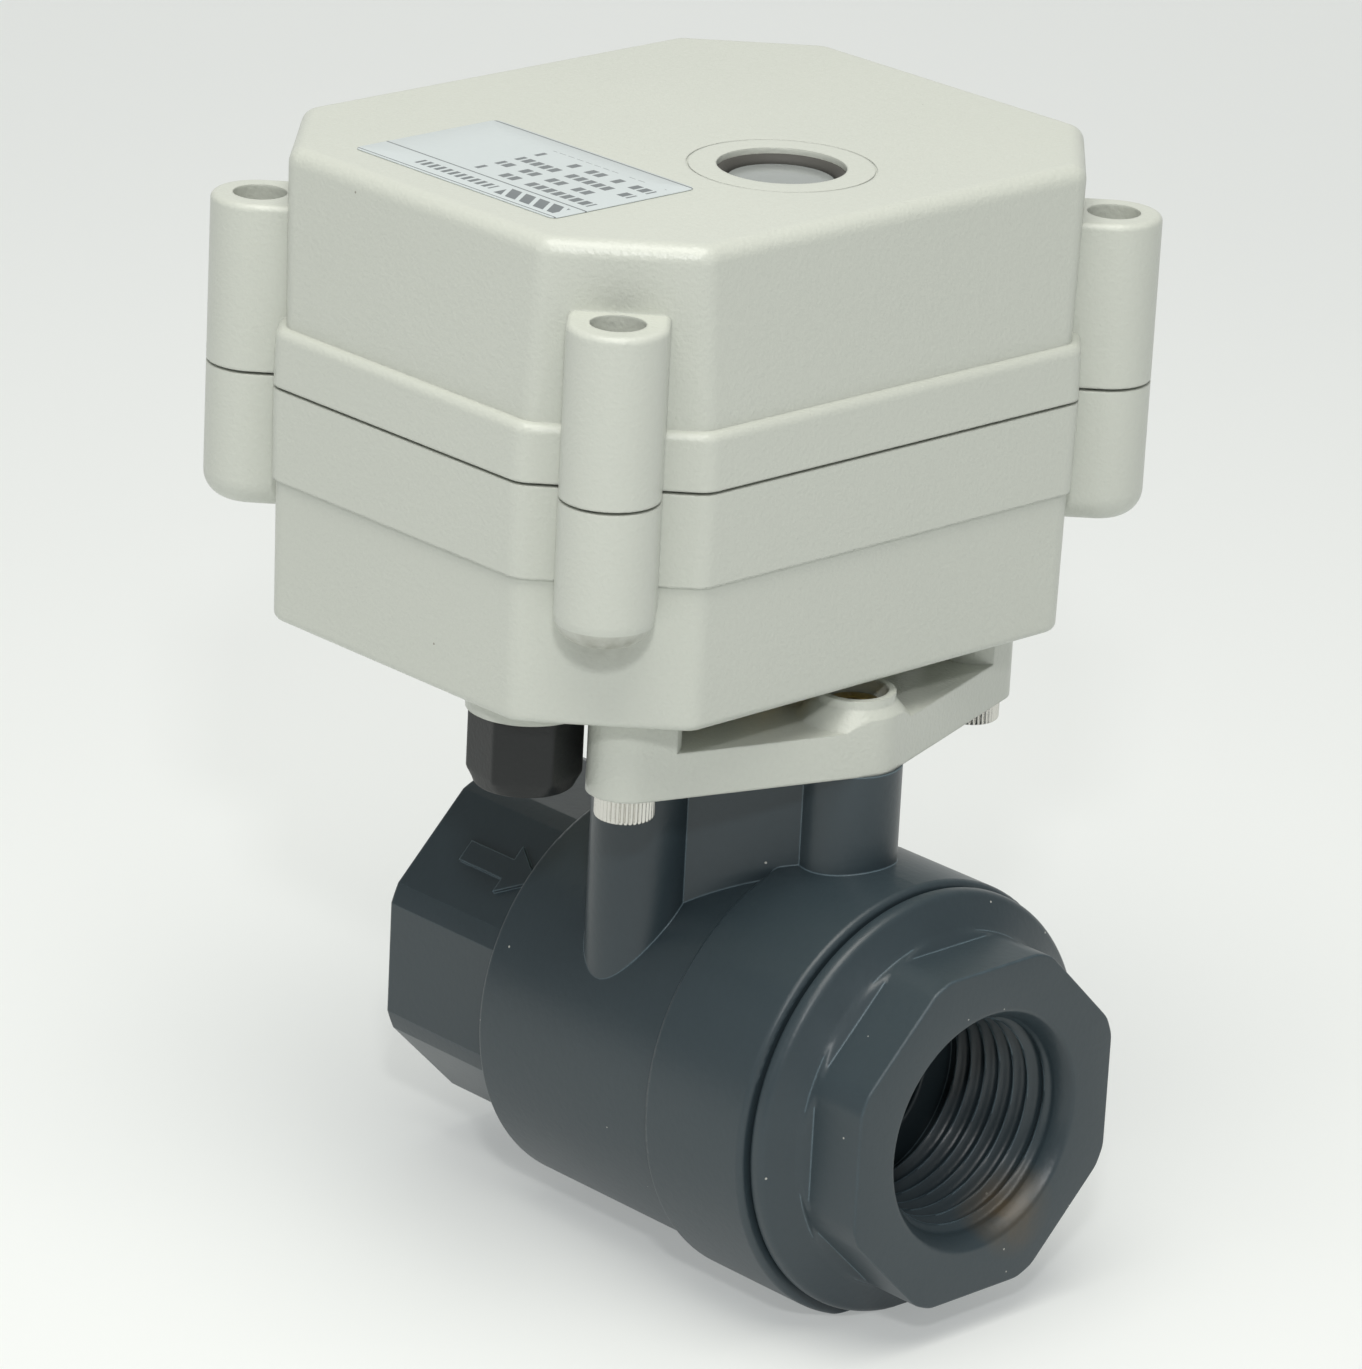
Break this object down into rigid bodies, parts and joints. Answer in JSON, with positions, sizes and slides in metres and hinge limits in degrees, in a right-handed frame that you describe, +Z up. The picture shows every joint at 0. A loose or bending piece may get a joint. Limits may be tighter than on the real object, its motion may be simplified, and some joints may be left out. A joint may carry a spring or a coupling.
{
  "type": "motorized valve actuator",
  "caption": "Light-grey geared electric actuator with a window and corner screw lugs, bracketed onto a dark-grey plastic ball valve with threaded octagonal ends.",
  "frame": {"origin": "on the surface the valve stands on, under the stem axis", "axes": "+X along the pipe to the removable end connector, +Z up the stem axis"},
  "size_m": [0.0729, 0.0702, 0.1022],
  "materials": {
    "housing_grey": "moulded light grey, fine matt grain",
    "grey_upvc": "dark blue-grey moulded UPVC, satin",
    "black_nylon": "black moulded nylon, satin",
    "black_rubber": "black rubber",
    "zinc_steel": "zinc plated steel",
    "knurled_steel": "bright knurled steel",
    "brassy_steel": "yellow passivated steel",
    "turned_steel": "turned steel",
    "brass": "turned brass",
    "sintered_bronze": "sintered bronze",
    "clear_lens": "clear polycarbonate",
    "foil_label": "silver foil label, satin",
    "white_dial": "white moulded plastic",
    "red_pointer": "red moulded plastic",
    "white_acetal": "natural acetal",
    "white_ptfe": "white PTFE",
    "green_board": "solder-masked board",
    "green_plastic": "green moulded plastic",
    "ferrite": "pressed ferrite"
  },
  "bodies": {
    "housing": {"base_housing": "housing_grey", "top_cover": "housing_grey", "cover_gasket": "black_rubber", "cover_screws": "zinc_steel", "window_lens": "clear_lens", "window_seal": "black_rubber", "name_plate": "foil_label", "shaft_seal": "black_rubber", "lower_bush": "sintered_bronze", "upper_bush": "sintered_bronze", "gear_pin_2": "turned_steel", "gear_pin_1": "turned_steel", "gear_plate": "zinc_steel", "plate_screws": "zinc_steel", "motor_can": "zinc_steel", "motor_end_cap": "black_nylon", "motor_bearing": "sintered_bronze", "motor_magnets": "ferrite", "motor_screws": "zinc_steel", "circuit_board": "green_board", "board_spacers": "white_acetal", "terminal_block": "green_plastic", "relay": "black_nylon", "capacitor": "black_nylon", "switch_closed": "black_nylon", "switch_open": "black_nylon", "lever_closed": "zinc_steel", "lever_open": "zinc_steel", "gland_body": "black_nylon", "gland_nut": "black_nylon", "gland_seal": "black_rubber", "mounting_bracket": "housing_grey", "bracket_screws": "knurled_steel", "valve_screws": "brassy_steel", "valve_body": "grey_upvc", "end_connector": "grey_upvc", "connector_seal": "black_rubber", "seat_ring_front": "white_ptfe", "seat_ring_rear": "white_ptfe"},
    "output_train": {"output_shaft": "turned_steel", "output_gear": "turned_steel", "cam_closed": "white_acetal", "cam_open": "white_acetal", "cam_clip": "zinc_steel", "indicator_disc": "white_dial", "indicator_pointer": "red_pointer", "drive_coupler": "brass", "stem": "grey_upvc", "stem_seals": "black_rubber", "ball": "grey_upvc"},
    "gear_2": {"compound_gear_2": "turned_steel"},
    "gear_1": {"compound_gear_1": "white_acetal"},
    "rotor": {"motor_rotor": "turned_steel", "motor_pinion": "brass"}
  },
  "joints": [
    {"name": "output_turn", "type": "hinge", "parent": "housing", "child": "output_train", "pos_m": [0, 0, 0.0195], "axis": [0, 0, 1], "range_deg": [0, 90]},
    {"name": "gear_2_spin", "type": "hinge", "parent": "housing", "child": "gear_2", "pos_m": [-0.01351, 0.0078, 0.065], "axis": [0, 0, 1], "continuous": true},
    {"name": "gear_1_spin", "type": "hinge", "parent": "housing", "child": "gear_1", "pos_m": [-0.02439, -0.0007, 0.07], "axis": [0, 0, 1], "continuous": true},
    {"name": "motor_spin", "type": "hinge", "parent": "housing", "child": "rotor", "pos_m": [-0.0239, -0.01469, 0.08], "axis": [0, 0, 1], "continuous": true}
  ],
  "couplings": [
    {"joint": "gear_2_spin", "follows": "output_turn", "ratio": -3.3333},
    {"joint": "gear_1_spin", "follows": "output_turn", "ratio": 9.4444},
    {"joint": "motor_spin", "follows": "output_turn", "ratio": -34.63}
  ]
}
